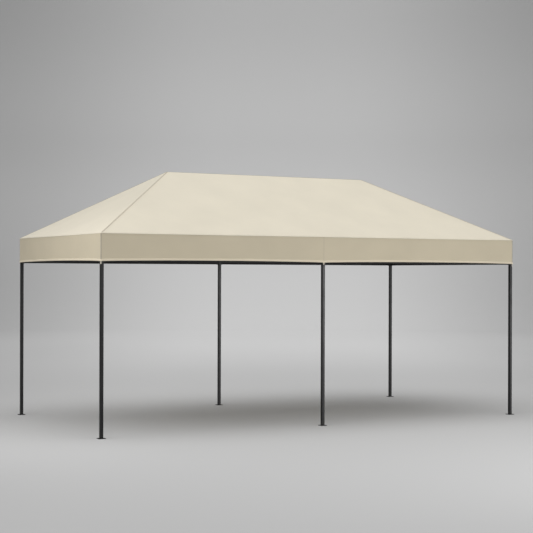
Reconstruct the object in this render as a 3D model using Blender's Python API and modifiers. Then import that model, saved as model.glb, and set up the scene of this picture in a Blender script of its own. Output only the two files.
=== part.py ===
"""A garden gazebo of 3 by 6 metres: a black square-tube frame on six legs, under a taut cream
fabric cover with a hipped roof and a deep straight valance.

The long side runs along X, the front faces -Y, and the origin is on the ground under the middle.
Run it in Blender with: blender --background --python part.py
"""

import math

import bmesh
import bpy
from mathutils import Matrix, Vector

# Driving dimensions of the cover, in metres
LENGTH = 6.0
WIDTH = 3.0
HEM_HEIGHT = 2.05
EAVE_HEIGHT = 2.385
RIDGE_HEIGHT = 3.245
COVER_THICKNESS = 0.002

# Square and rectangular steel tube: outer size, wall and the radius of the long edges
LEG_SIZE = 0.040
LEG_WALL = 0.0012
LEG_RADIUS = 0.005
RAIL_WIDTH = 0.020
RAIL_HEIGHT = 0.040
RAFTER_SIZE = 0.025
LIGHT_WALL = 0.001
LIGHT_RADIUS = 0.003
CORNER_STEPS = 3

# Foot plates with a square sleeve that stands inside the leg, and two peg holes
FOOT_SIZE = 0.088
FOOT_THICKNESS = 0.005
FOOT_CORNER = 0.008
SLEEVE_SIZE = 0.035
SLEEVE_WALL = 0.003
SLEEVE_HEIGHT = 0.050
PEG_HOLE_RADIUS = 0.0045
PEG_HOLE_OFFSET = 0.033
PEG_HOLE_SIDES = 16

# Moulded brackets, with plugs that slide into the tubes
BRACKET_HEIGHT = 0.045
HUB_HEIGHT = 0.040
BRACKET_BEVEL = 0.002
LEG_PLUG = 0.035
RAIL_PLUG_WIDTH = 0.0165
RAIL_PLUG_HEIGHT = 0.0365
RAFTER_PLUG = 0.0214
RAFTER_NECK = (0.012, 0.020)
PLUG_LENGTH = 0.045
NECK_LAP = 0.010
HUB_TOP_DROP = 0.0145

# Room between pieces
CONTACT_GAP = 0.0003
COVER_GAP = 0.001
FRAME_TOP_DROP = 0.003
RAFTER_DROP = 0.0225
SEAM_GAP = 0.0014
VALANCE_TOP_DROP = 0.0024
HIP_END_ROOM = 0.034
MIDDLE_END_ROOM = 0.028
RAIL_BELOW_HEM = 0.002

# Colours and surface values: base colour, roughness, metallic
STEEL_BLACK = ("black_steel", (0.018, 0.018, 0.018), 0.42, 0.35)
NYLON_BLACK = ("black_nylon", (0.012, 0.012, 0.013), 0.6, 0.0)
COVER_CREAM = ("cream_cover", (0.72, 0.66, 0.54), 0.8, 0.0)

# Places worked out from the driving dimensions
HALF_LENGTH = LENGTH / 2
HALF_WIDTH = WIDTH / 2
RIDGE_END = HALF_LENGTH - HALF_WIDTH
PITCH = math.atan2(RIDGE_HEIGHT - EAVE_HEIGHT, HALF_WIDTH)
SLOPE_LENGTH = math.hypot(RIDGE_HEIGHT - EAVE_HEIGHT, HALF_WIDTH)
LEG_INSET = COVER_THICKNESS + COVER_GAP + LEG_SIZE / 2
LEG_X = HALF_LENGTH - LEG_INSET
LEG_Y = HALF_WIDTH - LEG_INSET
FRAME_TOP = EAVE_HEIGHT - FRAME_TOP_DROP
BRACKET_CENTRE = FRAME_TOP - BRACKET_HEIGHT / 2
LEG_TOP = FRAME_TOP - BRACKET_HEIGHT - CONTACT_GAP
EAVE_RAIL_HEIGHT = FRAME_TOP - RAIL_HEIGHT / 2
LOWER_RAIL_HEIGHT = HEM_HEIGHT - RAIL_BELOW_HEM + RAIL_HEIGHT / 2
RAFTER_FOOT = EAVE_HEIGHT + LEG_INSET * math.tan(PITCH) - RAFTER_DROP
RIDGE_LINE = RIDGE_HEIGHT - RAFTER_DROP
HUB_CENTRE = RIDGE_HEIGHT - HUB_TOP_DROP - HUB_HEIGHT / 2

UP = Vector((0, 0, 1))
LEGS = {
    "front_left": (-LEG_X, -LEG_Y),
    "front_middle": (0, -LEG_Y),
    "front_right": (LEG_X, -LEG_Y),
    "back_left": (-LEG_X, LEG_Y),
    "back_middle": (0, LEG_Y),
    "back_right": (LEG_X, LEG_Y),
}
BAYS = {
    "front_left": ("front_left", "front_middle"),
    "front_right": ("front_middle", "front_right"),
    "back_left": ("back_left", "back_middle"),
    "back_right": ("back_middle", "back_right"),
    "left": ("front_left", "back_left"),
    "right": ("front_right", "back_right"),
}


def clear_scene():
    """Take away whatever the open file holds."""
    for item in list(bpy.data.objects):
        bpy.data.objects.remove(item, do_unlink=True)


def new_collection(name):
    group = bpy.data.collections.new(name)
    bpy.context.scene.collection.children.link(group)
    return group


def finish(values):
    """A plain material from a name, a colour, a roughness and a metallic value."""
    name, colour, roughness, metallic = values
    material = bpy.data.materials.get(name) or bpy.data.materials.new(name)
    material.use_nodes = True
    shader = material.node_tree.nodes["Principled BSDF"]
    shader.inputs["Base Color"].default_value = (*colour, 1)
    shader.inputs["Roughness"].default_value = roughness
    shader.inputs["Metallic"].default_value = metallic
    return material


def add_part(name, data, material):
    """Put a named piece in the model under the gazebo's own empty."""
    part = bpy.data.objects.new(name, data)
    part.data.materials.append(finish(material))
    parts.objects.link(part)
    part.parent = base
    return part


def add_tool(name, data):
    """Put a shape that only cuts or joins with the others, drawn as wire."""
    tool = bpy.data.objects.new(name, data)
    tool.hide_render = True
    tool.display_type = "WIRE"
    tools.objects.link(tool)
    return tool


def facing(along, top=UP):
    """The rotation that turns local Z along a member and local Y to its upper side."""
    along = along.normalized()
    side = top.cross(along).normalized()
    return Matrix((side, along.cross(side), along)).transposed().to_euler()


def rounded_rectangle(width, height, radius):
    """Points round a rectangle with its four corners as arcs."""
    points = []
    for quarter, (sx, sy) in enumerate([(1, 1), (-1, 1), (-1, -1), (1, -1)]):
        centre = Vector((sx * (width / 2 - radius), sy * (height / 2 - radius)))
        for step in range(CORNER_STEPS + 1):
            angle = math.pi / 2 * (quarter + step / CORNER_STEPS)
            points.append(centre + radius * Vector((math.cos(angle), math.sin(angle))))
    return points


def flat_outline(name, outlines, thickness):
    """A filled flat shape of closed outlines, an inner one being a hole, with a thickness."""
    curve = bpy.data.curves.new(name, "CURVE")
    curve.dimensions = "2D"
    curve.fill_mode = "BOTH"
    curve.extrude = thickness / 2
    for points in outlines:
        spline = curve.splines.new("POLY")
        spline.points.add(len(points) - 1)
        for point, place in zip(spline.points, points):
            point.co = (place[0], place[1], 0, 1)
        spline.use_cyclic_u = True
    return curve


def add_tube(name, start, end, size, wall, radius, top=UP):
    """A square or rectangular steel tube, open at both ends, between two points."""
    width, height = size
    outside = rounded_rectangle(width, height, radius)
    inside = rounded_rectangle(width - 2 * wall, height - 2 * wall, radius - wall)
    start, end = Vector(start), Vector(end)
    tube = add_part(name, flat_outline(name, [outside, inside], (end - start).length), STEEL_BLACK)
    tube.location = (start + end) / 2
    tube.rotation_euler = facing(end - start, top)
    return tube


def box_mesh(name, size):
    """A box of a given size, centred on its own origin."""
    mesh = bpy.data.meshes.new(name)
    shape = bmesh.new()
    bmesh.ops.create_cube(shape, size=1, matrix=Matrix.Diagonal((*size, 1)))
    shape.to_mesh(mesh)
    shape.free()
    return mesh


def round_upright_edges(mesh, radius):
    """Round the four vertical edges of a box."""
    shape = bmesh.new()
    shape.from_mesh(mesh)
    upright = [e for e in shape.edges if abs((e.verts[0].co - e.verts[1].co).z) > 1e-6]
    bmesh.ops.bevel(shape, geom=upright, offset=radius, segments=CORNER_STEPS, profile=0.5, affect="EDGES")
    shape.to_mesh(mesh)
    shape.free()


def combine(part, tool, operation):
    """Join a shape to a piece, or cut it out, with an exact Boolean."""
    tool.parent = base
    step = part.modifiers.new(tool.name, "BOOLEAN")
    step.operation = operation
    step.solver = "EXACT"
    step.object = tool


def add_foot(name, x, y):
    """A foot: a square plate with rounded corners, a hollow sleeve and two peg holes."""
    plate = box_mesh(name, (FOOT_SIZE, FOOT_SIZE, FOOT_THICKNESS))
    round_upright_edges(plate, FOOT_CORNER)
    foot = add_part(name, plate, STEEL_BLACK)
    foot.location = (x, y, FOOT_THICKNESS / 2)

    sunk = FOOT_THICKNESS / 2
    sleeve = add_tool(name + "_sleeve", box_mesh("sleeve", (SLEEVE_SIZE, SLEEVE_SIZE, SLEEVE_HEIGHT + sunk)))
    sleeve.location = (x, y, FOOT_THICKNESS + (SLEEVE_HEIGHT - sunk) / 2)
    combine(foot, sleeve, "UNION")

    bore_size = SLEEVE_SIZE - 2 * SLEEVE_WALL
    bore = add_tool(name + "_bore", box_mesh("bore", (bore_size, bore_size, 2 * SLEEVE_HEIGHT)))
    bore.location = (x, y, FOOT_THICKNESS + SLEEVE_HEIGHT)
    combine(foot, bore, "DIFFERENCE")

    for number, side in enumerate((-1, 1)):
        hole_mesh = bpy.data.meshes.new("peg_hole")
        shape = bmesh.new()
        bmesh.ops.create_cone(
            shape,
            cap_ends=True,
            segments=PEG_HOLE_SIDES,
            radius1=PEG_HOLE_RADIUS,
            radius2=PEG_HOLE_RADIUS,
            depth=4 * FOOT_THICKNESS,
        )
        shape.to_mesh(hole_mesh)
        shape.free()
        hole = add_tool(f"{name}_peg_hole_{number + 1}", hole_mesh)
        hole.location = (x + side * PEG_HOLE_OFFSET, y + side * PEG_HOLE_OFFSET, FOOT_THICKNESS / 2)
        combine(foot, hole, "DIFFERENCE")


def add_bracket(name, centre, height, plugs):
    """A moulded block with plugs, each given by its root, its direction, its reach and its size."""
    bracket = add_part(name, box_mesh(name, (LEG_SIZE, LEG_SIZE, height)), NYLON_BLACK)
    bracket.location = centre
    edges = bracket.modifiers.new("edges", "BEVEL")
    edges.width = BRACKET_BEVEL
    edges.segments = 2
    for number, (root, direction, reach, width, depth) in enumerate(plugs):
        plug = add_tool(f"{name}_plug_{number + 1}", box_mesh("plug", (width, depth, reach)))
        plug.location = Vector(root) + direction.normalized() * reach / 2
        plug.rotation_euler = facing(direction, Vector((0, 1, 0)) if direction.z < -0.9 else UP)
        combine(bracket, plug, "UNION")


def add_legs():
    """Six legs on their feet, each with its bracket on top."""
    for place, (x, y) in LEGS.items():
        add_foot(f"foot_{place}", x, y)
        start = (x, y, FOOT_THICKNESS + CONTACT_GAP)
        end = (x, y, LEG_TOP)
        add_tube(f"leg_{place}", start, end, (LEG_SIZE, LEG_SIZE), LEG_WALL, LEG_RADIUS, Vector((0, 1, 0)))
        add_bracket(f"bracket_{place}", (x, y, BRACKET_CENTRE), BRACKET_HEIGHT, leg_top_plugs(x, y))


def leg_top_plugs(x, y):
    """Plugs of a leg-top bracket: down the leg, into the eave rails and up the rafter."""
    inward_y = Vector((0, -math.copysign(1, y), 0))
    rail_root = (x, y, EAVE_RAIL_HEIGHT)
    rail_reach = LEG_SIZE / 2 + PLUG_LENGTH
    rail_plug = (rail_reach, RAIL_PLUG_WIDTH, RAIL_PLUG_HEIGHT)
    plugs = [((x, y, BRACKET_CENTRE), -UP, BRACKET_HEIGHT / 2 + PLUG_LENGTH, LEG_PLUG, LEG_PLUG)]
    if x:
        inward_x = Vector((-math.copysign(1, x), 0, 0))
        plugs.append((rail_root, inward_x, *rail_plug))
        plugs.append((rail_root, inward_y, *rail_plug))
        ridge_point = Vector((math.copysign(RIDGE_END, x), 0, RIDGE_LINE))
        room = HIP_END_ROOM
    else:
        plugs.append((rail_root, Vector((1, 0, 0)), *rail_plug))
        plugs.append((rail_root, Vector((-1, 0, 0)), *rail_plug))
        ridge_point = Vector((0, 0, RIDGE_LINE))
        room = MIDDLE_END_ROOM
    return plugs + rafter_plugs(Vector((x, y, RAFTER_FOOT)), ridge_point, room)


def rafter_plugs(root, far_end, room):
    """A narrow neck out of a bracket, and the full plug inside the rafter's tube."""
    direction = (far_end - root).normalized()
    tube_start = room / direction.xy.length
    neck = (root, direction, tube_start + NECK_LAP, *RAFTER_NECK)
    plug = (root + direction * tube_start, direction, PLUG_LENGTH, RAFTER_PLUG, RAFTER_PLUG)
    return [neck, plug]


def add_rails():
    """A rail along the eaves and one behind the hem in each bay between two legs."""
    for bay, (first, second) in BAYS.items():
        for kind, height in (("eave", EAVE_RAIL_HEIGHT), ("lower", LOWER_RAIL_HEIGHT)):
            start = Vector((*LEGS[first], height))
            end = Vector((*LEGS[second], height))
            room = (end - start).normalized() * (LEG_SIZE / 2 + CONTACT_GAP)
            size = (RAIL_WIDTH, RAIL_HEIGHT)
            add_tube(f"{kind}_rail_{bay}", start + room, end - room, size, LIGHT_WALL, LIGHT_RADIUS)


def add_rafter(name, leg, ridge_x, room):
    """A rafter tube from a leg's top to a point of the ridge, short of the brackets at both ends."""
    foot = Vector((*LEGS[leg], RAFTER_FOOT))
    head = Vector((ridge_x, 0, RIDGE_LINE))
    run = head - foot
    end_room = run * (room / run.xy.length)
    size = (RAFTER_SIZE, RAFTER_SIZE)
    add_tube(name, foot + end_room, head - end_room, size, LIGHT_WALL, LIGHT_RADIUS)


def add_roof_frame():
    """Four hip rafters, two middle rafters, and the ridge in two lengths between three hubs."""
    for leg, (x, y) in LEGS.items():
        if x:
            add_rafter(f"hip_rafter_{leg}", leg, math.copysign(RIDGE_END, x), HIP_END_ROOM)
        else:
            add_rafter(f"middle_rafter_{leg.split('_')[0]}", leg, 0, MIDDLE_END_ROOM)

    end_room = LEG_SIZE / 2 + CONTACT_GAP
    for side, sign in (("left", -1), ("right", 1)):
        inner = (sign * end_room, 0, RIDGE_LINE)
        outer = (sign * (RIDGE_END - end_room), 0, RIDGE_LINE)
        size = (RAFTER_SIZE, RAFTER_SIZE)
        add_tube(f"ridge_pole_{side}", inner, outer, size, LIGHT_WALL, LIGHT_RADIUS)
        add_ridge_hub(f"ridge_hub_{side}", sign * RIDGE_END, [(-sign, 0)], [(sign, -1), (sign, 1)])
    add_ridge_hub("ridge_hub_middle", 0, [(-1, 0), (1, 0)], [(0, -1), (0, 1)])


def add_ridge_hub(name, x, ridge_sides, rafter_sides):
    """A hub under the ridge, with plugs into the ridge poles and into the rafters."""
    root = Vector((x, 0, RIDGE_LINE))
    plugs = []
    for side_x, side_y in ridge_sides:
        reach = LEG_SIZE / 2 + PLUG_LENGTH
        plugs.append((root, Vector((side_x, side_y, 0)), reach, RAFTER_PLUG, RAFTER_PLUG))
    for side_x, side_y in rafter_sides:
        foot = Vector((side_x * LEG_X, side_y * LEG_Y, RAFTER_FOOT))
        room = HIP_END_ROOM if side_x else MIDDLE_END_ROOM
        plugs += rafter_plugs(root, foot, room)
    add_bracket(name, (x, 0, HUB_CENTRE), HUB_HEIGHT, plugs)


def add_cover():
    """Four roof panels that meet at the hips and the ridge, and a valance panel under each."""
    sides = (
        ("front", 0, HALF_LENGTH, HALF_WIDTH, RIDGE_END),
        ("back", math.pi, HALF_LENGTH, HALF_WIDTH, RIDGE_END),
        ("left", -math.pi / 2, HALF_WIDTH, HALF_LENGTH, 0),
        ("right", math.pi / 2, HALF_WIDTH, HALF_LENGTH, 0),
    )
    for side, heading, half_eave, distance, half_ridge in sides:
        turn = Matrix.Rotation(heading, 3, "Z")
        roof_outline = sloped_outline(half_eave, half_ridge)
        name = f"roof_panel_{side}"
        roof = add_part(name, flat_outline(name, [roof_outline], COVER_THICKNESS), COVER_CREAM)
        normal = Vector((0, -math.sin(PITCH), math.cos(PITCH)))
        roof.location = turn @ (Vector((0, -distance, EAVE_HEIGHT)) - normal * COVER_THICKNESS / 2)
        roof.rotation_euler = (PITCH, 0, heading)

        half_run = half_eave if half_ridge else half_eave - COVER_THICKNESS - CONTACT_GAP
        drop = EAVE_HEIGHT - VALANCE_TOP_DROP - HEM_HEIGHT
        name = f"valance_{side}"
        valance = add_part(name, box_mesh(name, (2 * half_run, COVER_THICKNESS, drop)), COVER_CREAM)
        valance.location = turn @ Vector((0, -distance + COVER_THICKNESS / 2, HEM_HEIGHT + drop / 2))
        valance.rotation_euler = (0, 0, heading)


def sloped_outline(half_eave, half_ridge):
    """The flat outline of a roof panel, drawn in from its neighbours at the hips and the ridge."""
    hip_run = half_eave - half_ridge
    hip_length = math.hypot(hip_run, SLOPE_LENGTH)
    side_room = SEAM_GAP * hip_length / SLOPE_LENGTH
    lean = hip_run / SLOPE_LENGTH
    top = SLOPE_LENGTH - SEAM_GAP
    half_base = half_eave - side_room
    half_top = half_base - lean * top
    if half_ridge:
        return [(-half_base, 0), (half_base, 0), (half_top, top), (-half_top, top)]
    return [(-half_base, 0), (half_base, 0), (0, half_base / lean)]


clear_scene()
parts = new_collection("garden_gazebo")
tools = new_collection("shaping_tools")
base = bpy.data.objects.new("gazebo_origin", None)
parts.objects.link(base)

add_legs()
add_rails()
add_roof_frame()
add_cover()
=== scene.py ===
# %% [markdown]
# # A garden gazebo: cloth over a steel frame
# The real object is a black square-tube frame on six legs, under one sewn cream cover: a hipped roof
# with a deep valance all round. The frame is already modelled as solids. This lesson dresses it: the
# solid roof and valance panels give way to one sheet of cloth with its seams, hem and tabs, and the
# steel gets its powder coat, its screws and its spring buttons.
# The frame is loaded first. Its pieces are in metres, so anything new goes where the frame says.

# %% Load the frame
import math

import bmesh
import bpy
from mathutils import Matrix, Vector, noise


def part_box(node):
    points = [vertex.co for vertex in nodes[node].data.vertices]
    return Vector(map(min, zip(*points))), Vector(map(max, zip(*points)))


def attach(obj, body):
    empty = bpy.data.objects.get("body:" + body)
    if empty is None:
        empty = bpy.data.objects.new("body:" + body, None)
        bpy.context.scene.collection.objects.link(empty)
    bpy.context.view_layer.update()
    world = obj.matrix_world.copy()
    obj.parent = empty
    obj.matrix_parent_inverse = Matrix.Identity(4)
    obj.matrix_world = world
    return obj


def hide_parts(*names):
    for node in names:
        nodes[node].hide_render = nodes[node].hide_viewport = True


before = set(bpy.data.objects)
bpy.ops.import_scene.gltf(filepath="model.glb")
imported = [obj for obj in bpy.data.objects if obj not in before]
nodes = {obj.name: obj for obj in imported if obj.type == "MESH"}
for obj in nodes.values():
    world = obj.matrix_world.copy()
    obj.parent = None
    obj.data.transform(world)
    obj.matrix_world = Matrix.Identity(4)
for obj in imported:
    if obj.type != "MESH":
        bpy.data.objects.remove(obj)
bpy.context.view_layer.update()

# %% [markdown]
# ## Sizes that the frame gives
# The cover follows the frame, so its sizes are read from the frame's pieces. The solid roof panels
# start below the eave line by their thickness, and stop just short of the ridge line. A hipped roof
# of one pitch then needs only one more number, how far in its ridge starts: half the width.

# %% Read the sizes
PANEL_BELOW_EAVE = 0.0017
PANEL_BELOW_RIDGE = 0.0007
HALF_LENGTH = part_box("valance_right")[1].x
HALF_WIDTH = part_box("valance_back")[1].y
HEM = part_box("valance_front")[0].z
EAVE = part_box("roof_panel_front")[0].z + PANEL_BELOW_EAVE
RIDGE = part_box("roof_panel_front")[1].z + PANEL_BELOW_RIDGE
RIDGE_END = HALF_LENGTH - HALF_WIDTH
PITCH = (RIDGE - EAVE) / HALF_WIDTH
VALANCE = EAVE - HEM
LEG = {n[4:]: (sum(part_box(n), Vector()) / 2).xy for n in nodes if n.startswith("leg_")}
LEG_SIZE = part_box("leg_front_left")[1].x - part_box("leg_front_left")[0].x
print(f"eave {EAVE:.3f}, ridge {RIDGE:.3f}, hem {HEM:.3f}, half {HALF_LENGTH:.3f} by {HALF_WIDTH:.3f}")

# %% [markdown]
# ## The camera
# A product picture of a long low thing is taken from far off, with a long lens at eye height. The
# camera points straight ahead, which keeps the legs parallel. It leans a sixth of a degree, as a
# hand-levelled one does, and a small shift moves the picture up without tilting it.

# %% Place the camera
LEAN, TURN = -0.0028, -0.4934

camera_data = bpy.data.cameras.new("camera")
camera_data.lens = 90.4
camera_data.sensor_width = 36
camera_data.shift_y = 0.0131
camera_data.clip_end = 200
camera = bpy.data.objects.new("camera", camera_data)
camera.location = (-8.636, -16.030, 1.918)
camera.rotation_euler = (math.pi / 2, LEAN, TURN)
bpy.context.scene.collection.objects.link(camera)
bpy.context.scene.camera = camera
bpy.context.scene.view_settings.view_transform = "Standard"
print("camera at", [round(v, 3) for v in camera.location])

# %% [markdown]
# ## Helpers for work by hand
# Modelling by hand is: add a primitive, go into edit mode, select some faces, edges or points, and
# act on them. In a script the selecting is done by a test on where a part lies or how it faces.
# Everything is deselected before each step, because an operator acts on all that is selected.

# %% Add and select
X, Y, Z = Vector((1, 0, 0)), Vector((0, 1, 0)), Vector((0, 0, 1))


def only(*pieces):
    """Select these pieces and make the first one active."""
    bpy.ops.object.select_all(action="DESELECT")
    for piece in pieces:
        piece.select_set(True)
    bpy.context.view_layer.objects.active = pieces[0]


def added(add, name, **settings):
    """A new primitive, with its place, turn and size put into its mesh."""
    bpy.ops.object.select_all(action="DESELECT")
    add(**settings)
    bpy.ops.object.transform_apply(location=True, rotation=True, scale=True)
    bpy.context.object.name = name
    return bpy.context.object


def begin(piece):
    """Go into edit mode on one piece."""
    only(piece)
    bpy.ops.object.mode_set(mode="EDIT")


def done():
    bpy.ops.object.mode_set(mode="OBJECT")


def pick_all():
    bpy.ops.mesh.select_all(action="SELECT")


def pick(piece, kind, test):
    """In edit mode, select the points, edges or faces that pass a test, and nothing else."""
    bpy.context.tool_settings.mesh_select_mode = (kind == "verts", kind == "edges", kind == "faces")
    bpy.ops.mesh.select_all(action="DESELECT")
    shape = bmesh.from_edit_mesh(piece.data)
    chosen = [part for part in getattr(shape, kind) if test(part)]
    for part in chosen:
        part.select_set(True)
    shape.select_flush_mode()
    bmesh.update_edit_mesh(piece.data)
    return len(chosen)


def facing(way):
    """A test for faces that look along a way."""
    return lambda face: face.normal.dot(way) > 0.9


# %% Shape, copy and finish
def pull(way):
    """Extrude what is selected along a way."""
    bpy.ops.mesh.extrude_region_move(TRANSFORM_OT_translate={"value": way})


def use(piece, kind, **settings):
    """Add a modifier and apply it at once."""
    only(piece)
    step = piece.modifiers.new(kind.lower(), kind)
    for name, value in settings.items():
        setattr(step, name, value)
    bpy.ops.object.modifier_apply(modifier=step.name)


def thicken(piece, thickness, offset=-1, **more):
    use(piece, "SOLIDIFY", thickness=thickness, offset=offset, **more)


def soften(piece, width, segments=2, **more):
    use(piece, "BEVEL", width=width, segments=segments, limit_method="ANGLE", **more)


def face_out(piece, merge=0.0):
    """Merge points that lie together, if asked, and turn all faces the same way out."""
    begin(piece)
    pick_all()
    if merge:
        bpy.ops.mesh.remove_doubles(threshold=merge)
    bpy.ops.mesh.normals_make_consistent(inside=False)
    done()


def copy_of(piece, name, place):
    """A copy with its own mesh, moved by a matrix that goes into the mesh."""
    twin = bpy.data.objects.new(name, piece.data.copy())
    twin.data.transform(place)
    if place.determinant() < 0:
        twin.data.flip_normals()
    bpy.context.scene.collection.objects.link(twin)
    return twin


def mirrored(piece, stem, side):
    """Copies of a piece at a front corner for the three other corners."""
    other = {"left": "right", "right": "left"}[side]
    places = (("front", other, -1, 1), ("back", side, 1, -1), ("back", other, -1, -1))
    return [copy_of(piece, f"{stem}_{depth}_{end}", Matrix.Diagonal((flip_x, flip_y, 1, 1)))
            for depth, end, flip_x, flip_y in places]


def join(name, pieces):
    """Make several pieces one."""
    only(*pieces)
    bpy.ops.object.join()
    pieces[0].name = pieces[0].data.name = name
    return pieces[0]


def put_on(piece, material, smooth=40):
    """Give a piece its finish and its body, and smooth its gentle edges."""
    if material:
        piece.data.materials.clear()
        piece.data.materials.append(material)
    only(piece)
    bpy.ops.object.shade_smooth_by_angle(angle=math.radians(smooth))
    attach(piece, "root")
    return piece

# %% [markdown]
# ## How the roof lies
# Cloth pulled over rafters isn't a set of flat plates. It is straight along the hips and the ridge,
# rounded over them, and between them it hangs a little, most in the middle of a bay. One function
# gives its height at any place in plan, so all that is sewn on it agrees with it.

# %% The height of the roof at a place
CREST_ROUND = 0.010
ROOF_SAG = 0.012
END_SAG = 0.010
RAFTER_SHARE = 0.35


def blunt(value, size):
    """A distance from a crest, rounded where it is near nothing."""
    return math.sqrt(value * value + size * size)


def roof_sag(x, y):
    """How far the cloth hangs below its straight line at a place."""
    from_side, from_end = HALF_WIDTH - abs(y), HALF_LENGTH - abs(x)
    hang = math.sin(math.pi * max(min(from_side, from_end) / HALF_WIDTH, 0))
    if from_side <= from_end:
        across = abs(x) / (HALF_LENGTH - from_side)
        share = RAFTER_SHARE + (1 - RAFTER_SHARE) * math.sin(math.pi * across)
        return ROOF_SAG * hang * share * (1 - across**6)
    across = abs(y) / (HALF_WIDTH - from_end)
    return END_SAG * hang * (1 - across**2)


def roof_height(x, y):
    """The height of the cloth's outer face, with its rounded hips and ridge."""
    side = HALF_WIDTH - blunt(y, CREST_ROUND / 2)
    end = HALF_LENGTH - abs(x)
    near = (side + end - blunt(side - end, CREST_ROUND)) / 2
    return EAVE + PITCH * near - roof_sag(x, y)


print(f"roof hangs {1000 * roof_sag(RIDGE_END, HALF_WIDTH / 2):.1f} mm in mid bay")

# %% [markdown]
# ## The cover
# The cover is sewn into one piece. By hand it starts as a box: its top is squeezed to a line, which
# makes the hips and the ridge, its bottom is taken away, and the open edge is pulled down into the
# valance. Cuts over the legs and rafters keep the squares even. Last, the folds are beveled, because
# cloth never turns on a knife edge.

# %% Squeeze a box into a hipped roof
CELLS = 40
FOLD = 0.007
NEAR = 1e-4

size, place = (2 * HALF_LENGTH, 2 * HALF_WIDTH, RIDGE - EAVE), (0, 0, (EAVE + RIDGE) / 2)
cover = added(bpy.ops.mesh.primitive_cube_add, "cover", size=1, location=place, scale=size)
begin(cover)
pick(cover, "faces", facing(Z))
bpy.ops.transform.resize(value=(RIDGE_END / HALF_LENGTH, 0, 1), center_override=(0, 0, RIDGE))
pick_all()
bpy.ops.mesh.remove_doubles(threshold=NEAR)
pick(cover, "faces", facing(-Z))
bpy.ops.mesh.delete(type="FACE")
for place, across in ((-RIDGE_END * X, X), (0 * X, X), (RIDGE_END * X, X), (0 * X, Y)):
    pick_all()
    bpy.ops.mesh.bisect(plane_co=place, plane_no=across)
pick(cover, "edges", lambda edge: edge.is_boundary)
pull((0, 0, -VALANCE))
pick_all()
bpy.ops.mesh.subdivide(number_cuts=CELLS - 1)
print("cover sheet:", len(bmesh.from_edit_mesh(cover.data).faces), "faces")


# %% Round its folds
def on_fold(edge):
    """True for an edge of a hip, the ridge, an eave or a corner of the valance."""
    ends = [v.co for v in edge.verts]
    at_side = all(abs(abs(p.y) - HALF_WIDTH) < NEAR for p in ends)
    at_end = all(abs(abs(p.x) - HALF_LENGTH) < NEAR for p in ends)
    if all(abs(p.z - EAVE) < NEAR for p in ends):
        return at_side or at_end
    if all(p.z < EAVE + NEAR for p in ends):
        return at_side and at_end
    hip = all(abs(RIDGE_END + abs(p.y) - abs(p.x)) < NEAR for p in ends)
    return hip or all(abs(p.z - RIDGE) < NEAR for p in ends)


print("folds:", pick(cover, "edges", on_fold), "edges")
bpy.ops.mesh.bevel(offset=FOLD, segments=3, profile=0.5, clamp_overlap=True)
done()

# %% [markdown]
# ## A map for the cloth's threads
# The weave has to follow the cloth and not the room, so the sheet gets a UV map that is simply its
# own size in metres: along the eave one way, up the slope or down the valance the other way. It is
# read while the sheet is still flat.

# %% Lay the cloth map
layer = cover.data.uv_layers.new(name="cloth")
for face in cover.data.polygons:
    long_side = abs(face.normal.y) >= abs(face.normal.x)
    for loop in face.loop_indices:
        p = cover.data.vertices[cover.data.loops[loop].vertex_index].co
        along = p.x if long_side else p.y
        inward = HALF_WIDTH - abs(p.y) if long_side else HALF_LENGTH - abs(p.x)
        layer.data[loop].uv = (along, inward * math.hypot(1, PITCH) + min(p.z - EAVE, 0))
print("cloth map laid")

# %% [markdown]
# ## Let the sheet settle
# The hem lies a little above the foot of the rail behind it, which shows below it as a black line.
# Between two legs it lifts by another centimetre and a half, as the cut is slightly hollow to keep
# it tight, and the cloth bellies softly. Where it turns up into the hem it stands out a little.

# %% Settle the cloth
HEM_REST = 0.007
HEM_LIFT = 0.015
EAVE_DROP = 0.0015
BELLY = 0.004
LONG_WAVES, SHORT_WAVES = 1.3, 4
HEM_FLARE = 0.006
FLARE_HEIGHT = 0.034


def by_long_side(x, y):
    """True for a place that is nearer to a long side of the cover than to an end."""
    return abs(y) > abs(x) - RIDGE_END


def bay_share(x, y):
    """Nothing at a leg, one halfway between two legs."""
    leg = LEG["back_right"]
    if by_long_side(x, y):
        return math.sin(math.pi * min(abs(x) / leg.x, 1))
    return math.cos(math.pi / 2 * min(abs(y) / leg.y, 1))


def outward(x, y):
    """The way out of the valance at a place, turning round the fold at a corner."""
    past = Vector((max(abs(x) - HALF_LENGTH + FOLD, 0), max(abs(y) - HALF_WIDTH + FOLD, 0), 0))
    if past.length < NEAR:
        past = Y if by_long_side(x, y) else X
    way = past.normalized()
    return Vector((math.copysign(way.x, x), math.copysign(way.y, y), 0))


def cloth_place(flat):
    """Where a point of the flat-sided sheet ends up."""
    x, y, z = flat
    inward = min(HALF_WIDTH - abs(y), HALF_LENGTH - abs(x))
    if z > EAVE - FOLD and inward > 1.2 * FOLD:
        return Vector((x, y, roof_height(x, y)))
    bay = bay_share(x, y)
    down = min(max((EAVE - z) / VALANCE, 0), 1)
    lift = (HEM_REST + HEM_LIFT * bay**0.6) * down
    wave = noise.noise(Vector((LONG_WAVES * x, LONG_WAVES * y, 2.5 * z)))
    wave += 0.5 * noise.noise(Vector((SHORT_WAVES * x, SHORT_WAVES * y, z)))
    flare = max(0, 1 - (z - HEM) / FLARE_HEIGHT) ** 1.5
    out = BELLY * bay * wave * math.sin(math.pi * down**0.7) + HEM_FLARE * flare
    return Vector((x, y, z + lift - EAVE_DROP * bay * (1 - down))) + outward(x, y) * out


for point in cover.data.vertices:
    point.co = cloth_place(point.co)
print(f"hem from {min(v.co.z for v in cover.data.vertices):.4f} up")
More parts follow.
